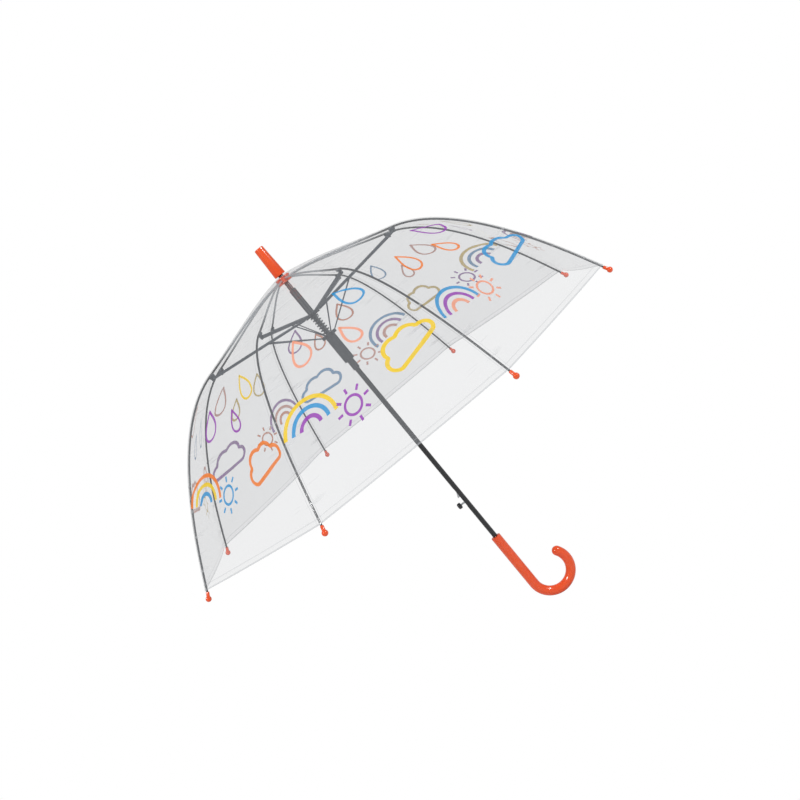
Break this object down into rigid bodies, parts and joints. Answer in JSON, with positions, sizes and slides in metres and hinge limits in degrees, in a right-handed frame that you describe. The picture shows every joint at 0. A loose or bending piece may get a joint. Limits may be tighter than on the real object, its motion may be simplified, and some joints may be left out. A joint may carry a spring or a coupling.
{
  "type": "children's umbrella",
  "caption": "Clear dome umbrella for a child, with bowed ribs, sliding strut hub and runner, an opening spring, a push button and a crook handle.",
  "frame": {"origin": "on the shaft's axis, halfway down the straight part of the handle, where a hand grips it", "axes": "+Z along the shaft, from the handle to the ferrule; +X towards the hook's open end; the push button is on the -X side"},
  "size_m": [0.6596, 0.6596, 0.6348],
  "materials": {
    "tube_steel": "satin black enamel",
    "orange_plastic": "gloss moulded orange",
    "steel_hardware": "dark plated",
    "slider_plastic": "satin moulded",
    "spring_steel": "dark spring wire",
    "catch_steel": "bright plated",
    "button_plastic": "semi-gloss black",
    "rib_steel": "black enamel",
    "strut_steel": "dark enamel",
    "clear_film": "clear glossy film with coloured line prints"
  },
  "bodies": {
    "root": {"shaft": "tube_steel", "handle": "orange_plastic", "ferrule": "orange_plastic", "top_notch": "steel_hardware"},
    "strut_hub": {"strut_hub": "slider_plastic"},
    "runner": {"runner": "slider_plastic", "opening_spring": "spring_steel"},
    "catch": {"catch_leaf": "catch_steel", "push_button": "button_plastic"},
    "rib_1": {"rib_1": "rib_steel", "rib_bracket_1": "steel_hardware", "rib_tip_1": "orange_plastic", "canopy_section_1": "clear_film"},
    "strut_1": {"strut_1": "strut_steel"},
    "wire_link_1": {"wire_link_1": "spring_steel"},
    "rib_2": {"rib_2": "rib_steel", "rib_bracket_2": "steel_hardware", "rib_tip_2": "orange_plastic", "canopy_section_2": "clear_film"},
    "strut_2": {"strut_2": "strut_steel"},
    "wire_link_2": {"wire_link_2": "spring_steel"},
    "rib_3": {"rib_3": "rib_steel", "rib_bracket_3": "steel_hardware", "rib_tip_3": "orange_plastic", "canopy_section_3": "clear_film"},
    "strut_3": {"strut_3": "strut_steel"},
    "wire_link_3": {"wire_link_3": "spring_steel"},
    "rib_4": {"rib_4": "rib_steel", "rib_bracket_4": "steel_hardware", "rib_tip_4": "orange_plastic", "canopy_section_4": "clear_film"},
    "strut_4": {"strut_4": "strut_steel"},
    "wire_link_4": {"wire_link_4": "spring_steel"},
    "rib_5": {"rib_5": "rib_steel", "rib_bracket_5": "steel_hardware", "rib_tip_5": "orange_plastic", "canopy_section_5": "clear_film"},
    "strut_5": {"strut_5": "strut_steel"},
    "wire_link_5": {"wire_link_5": "spring_steel"},
    "rib_6": {"rib_6": "rib_steel", "rib_bracket_6": "steel_hardware", "rib_tip_6": "orange_plastic", "canopy_section_6": "clear_film"},
    "strut_6": {"strut_6": "strut_steel"},
    "wire_link_6": {"wire_link_6": "spring_steel"},
    "rib_7": {"rib_7": "rib_steel", "rib_bracket_7": "steel_hardware", "rib_tip_7": "orange_plastic", "canopy_section_7": "clear_film"},
    "strut_7": {"strut_7": "strut_steel"},
    "wire_link_7": {"wire_link_7": "spring_steel"},
    "rib_8": {"rib_8": "rib_steel", "rib_bracket_8": "steel_hardware", "rib_tip_8": "orange_plastic", "canopy_section_8": "clear_film"},
    "strut_8": {"strut_8": "strut_steel"},
    "wire_link_8": {"wire_link_8": "spring_steel"}
  },
  "joints": [
    {"name": "rib_1_hinge", "type": "hinge", "parent": "root", "child": "rib_1", "pos_m": [0.00831, 0.00344, 0.5035], "axis": [-0.3827, 0.9239, 0], "range_deg": [0, 49.5], "stiffness_Nm_per_rad": 0.5, "springref_deg": -68.75, "deforming": ["canopy_section_1"]},
    {"name": "rib_2_hinge", "type": "hinge", "parent": "root", "child": "rib_2", "pos_m": [0.00344, 0.00831, 0.5035], "axis": [-0.9239, 0.3827, 0], "range_deg": [-0.5, 50], "deforming": ["canopy_section_2"]},
    {"name": "rib_3_hinge", "type": "hinge", "parent": "root", "child": "rib_3", "pos_m": [-0.00344, 0.00831, 0.5035], "axis": [-0.9239, -0.3827, 0], "range_deg": [-0.5, 50], "deforming": ["canopy_section_3"]},
    {"name": "rib_4_hinge", "type": "hinge", "parent": "root", "child": "rib_4", "pos_m": [-0.00831, 0.00344, 0.5035], "axis": [-0.3827, -0.9239, 0], "range_deg": [-0.5, 50], "deforming": ["canopy_section_4"]},
    {"name": "rib_5_hinge", "type": "hinge", "parent": "root", "child": "rib_5", "pos_m": [-0.00831, -0.00344, 0.5035], "axis": [0.3827, -0.9239, 0], "range_deg": [-0.5, 50], "deforming": ["canopy_section_5"]},
    {"name": "rib_6_hinge", "type": "hinge", "parent": "root", "child": "rib_6", "pos_m": [-0.00344, -0.00831, 0.5035], "axis": [0.9239, -0.3827, 0], "range_deg": [-0.5, 50], "deforming": ["canopy_section_6"]},
    {"name": "rib_7_hinge", "type": "hinge", "parent": "root", "child": "rib_7", "pos_m": [0.00344, -0.00831, 0.5035], "axis": [0.9239, 0.3827, 0], "range_deg": [-0.5, 50], "deforming": ["canopy_section_7"]},
    {"name": "rib_8_hinge", "type": "hinge", "parent": "root", "child": "rib_8", "pos_m": [0.00831, -0.00344, 0.5035], "axis": [0.3827, 0.9239, 0], "range_deg": [-0.5, 50], "deforming": ["canopy_section_8"]},
    {"name": "strut_1_hinge", "type": "hinge", "parent": "rib_1", "child": "strut_1", "pos_m": [0.15063, 0.06239, 0.45997], "axis": [-0.3827, 0.9239, 0], "range_deg": [-108.04, 0.5]},
    {"name": "wire_link_1_hinge", "type": "hinge", "parent": "strut_1", "child": "wire_link_1", "pos_m": [0.07076, 0.02931, 0.45017], "axis": [-0.3827, 0.9239, 0], "range_deg": [-0.5, 22.39]},
    {"name": "strut_2_hinge", "type": "hinge", "parent": "rib_2", "child": "strut_2", "pos_m": [0.06239, 0.15063, 0.45997], "axis": [-0.9239, 0.3827, 0], "range_deg": [-108.04, 0.5]},
    {"name": "wire_link_2_hinge", "type": "hinge", "parent": "strut_2", "child": "wire_link_2", "pos_m": [0.02931, 0.07076, 0.45017], "axis": [-0.9239, 0.3827, 0], "range_deg": [-0.5, 22.39]},
    {"name": "strut_3_hinge", "type": "hinge", "parent": "rib_3", "child": "strut_3", "pos_m": [-0.06239, 0.15063, 0.45997], "axis": [-0.9239, -0.3827, 0], "range_deg": [-108.04, 0.5]},
    {"name": "wire_link_3_hinge", "type": "hinge", "parent": "strut_3", "child": "wire_link_3", "pos_m": [-0.02931, 0.07076, 0.45017], "axis": [-0.9239, -0.3827, 0], "range_deg": [-0.5, 22.39]},
    {"name": "strut_4_hinge", "type": "hinge", "parent": "rib_4", "child": "strut_4", "pos_m": [-0.15063, 0.06239, 0.45997], "axis": [-0.3827, -0.9239, 0], "range_deg": [-108.04, 0.5]},
    {"name": "wire_link_4_hinge", "type": "hinge", "parent": "strut_4", "child": "wire_link_4", "pos_m": [-0.07076, 0.02931, 0.45017], "axis": [-0.3827, -0.9239, 0], "range_deg": [-0.5, 22.39]},
    {"name": "strut_5_hinge", "type": "hinge", "parent": "rib_5", "child": "strut_5", "pos_m": [-0.15063, -0.06239, 0.45997], "axis": [0.3827, -0.9239, 0], "range_deg": [-108.04, 0.5]},
    {"name": "wire_link_5_hinge", "type": "hinge", "parent": "strut_5", "child": "wire_link_5", "pos_m": [-0.07076, -0.02931, 0.45017], "axis": [0.3827, -0.9239, 0], "range_deg": [-0.5, 22.39]},
    {"name": "strut_6_hinge", "type": "hinge", "parent": "rib_6", "child": "strut_6", "pos_m": [-0.06239, -0.15063, 0.45997], "axis": [0.9239, -0.3827, 0], "range_deg": [-108.04, 0.5]},
    {"name": "wire_link_6_hinge", "type": "hinge", "parent": "strut_6", "child": "wire_link_6", "pos_m": [-0.02931, -0.07076, 0.45017], "axis": [0.9239, -0.3827, 0], "range_deg": [-0.5, 22.39]},
    {"name": "strut_7_hinge", "type": "hinge", "parent": "rib_7", "child": "strut_7", "pos_m": [0.06239, -0.15063, 0.45997], "axis": [0.9239, 0.3827, 0], "range_deg": [-108.04, 0.5]},
    {"name": "wire_link_7_hinge", "type": "hinge", "parent": "strut_7", "child": "wire_link_7", "pos_m": [0.02931, -0.07076, 0.45017], "axis": [0.9239, 0.3827, 0], "range_deg": [-0.5, 22.39]},
    {"name": "strut_8_hinge", "type": "hinge", "parent": "rib_8", "child": "strut_8", "pos_m": [0.15063, -0.06239, 0.45997], "axis": [0.3827, 0.9239, 0], "range_deg": [-108.04, 0.5]},
    {"name": "wire_link_8_hinge", "type": "hinge", "parent": "strut_8", "child": "wire_link_8", "pos_m": [0.07076, -0.02931, 0.45017], "axis": [0.3827, 0.9239, 0], "range_deg": [-0.5, 22.39]},
    {"name": "strut_hub_slide", "type": "slide", "parent": "root", "child": "strut_hub", "axis": [0, 0, 1], "range_m": [-0.22592, 0.001]},
    {"name": "runner_slide", "type": "slide", "parent": "root", "child": "runner", "axis": [0, 0, 1], "range_m": [-0.20297, 0.001], "deforming": ["opening_spring"]},
    {"name": "button_press", "type": "hinge", "parent": "root", "child": "catch", "pos_m": [-0.00155, 0, 0.062], "axis": [0, 1, 0], "range_deg": [0, 2.4], "stiffness_Nm_per_rad": 4, "springref_deg": -2.86}
  ],
  "couplings": [
    {"joint": "rib_2_hinge", "follows": "rib_1_hinge", "ratio": 1},
    {"joint": "rib_3_hinge", "follows": "rib_1_hinge", "ratio": 1},
    {"joint": "rib_4_hinge", "follows": "rib_1_hinge", "ratio": 1},
    {"joint": "rib_5_hinge", "follows": "rib_1_hinge", "ratio": 1},
    {"joint": "rib_6_hinge", "follows": "rib_1_hinge", "ratio": 1},
    {"joint": "rib_7_hinge", "follows": "rib_1_hinge", "ratio": 1},
    {"joint": "rib_8_hinge", "follows": "rib_1_hinge", "ratio": 1},
    {"joint": "strut_1_hinge", "follows": "rib_1_hinge", "ratio": -2.1726},
    {"joint": "wire_link_1_hinge", "follows": "rib_1_hinge", "ratio": 0.44229},
    {"joint": "strut_2_hinge", "follows": "rib_1_hinge", "ratio": -2.1726},
    {"joint": "wire_link_2_hinge", "follows": "rib_1_hinge", "ratio": 0.44229},
    {"joint": "strut_3_hinge", "follows": "rib_1_hinge", "ratio": -2.1726},
    {"joint": "wire_link_3_hinge", "follows": "rib_1_hinge", "ratio": 0.44229},
    {"joint": "strut_4_hinge", "follows": "rib_1_hinge", "ratio": -2.1726},
    {"joint": "wire_link_4_hinge", "follows": "rib_1_hinge", "ratio": 0.44229},
    {"joint": "strut_5_hinge", "follows": "rib_1_hinge", "ratio": -2.1726},
    {"joint": "wire_link_5_hinge", "follows": "rib_1_hinge", "ratio": 0.44229},
    {"joint": "strut_6_hinge", "follows": "rib_1_hinge", "ratio": -2.1726},
    {"joint": "wire_link_6_hinge", "follows": "rib_1_hinge", "ratio": 0.44229},
    {"joint": "strut_7_hinge", "follows": "rib_1_hinge", "ratio": -2.1726},
    {"joint": "wire_link_7_hinge", "follows": "rib_1_hinge", "ratio": 0.44229},
    {"joint": "strut_8_hinge", "follows": "rib_1_hinge", "ratio": -2.1726},
    {"joint": "wire_link_8_hinge", "follows": "rib_1_hinge", "ratio": 0.44229},
    {"joint": "strut_hub_slide", "follows": "rib_1_hinge", "m_per_rad": -0.26035},
    {"joint": "runner_slide", "follows": "rib_1_hinge", "m_per_rad": -0.23378}
  ]
}
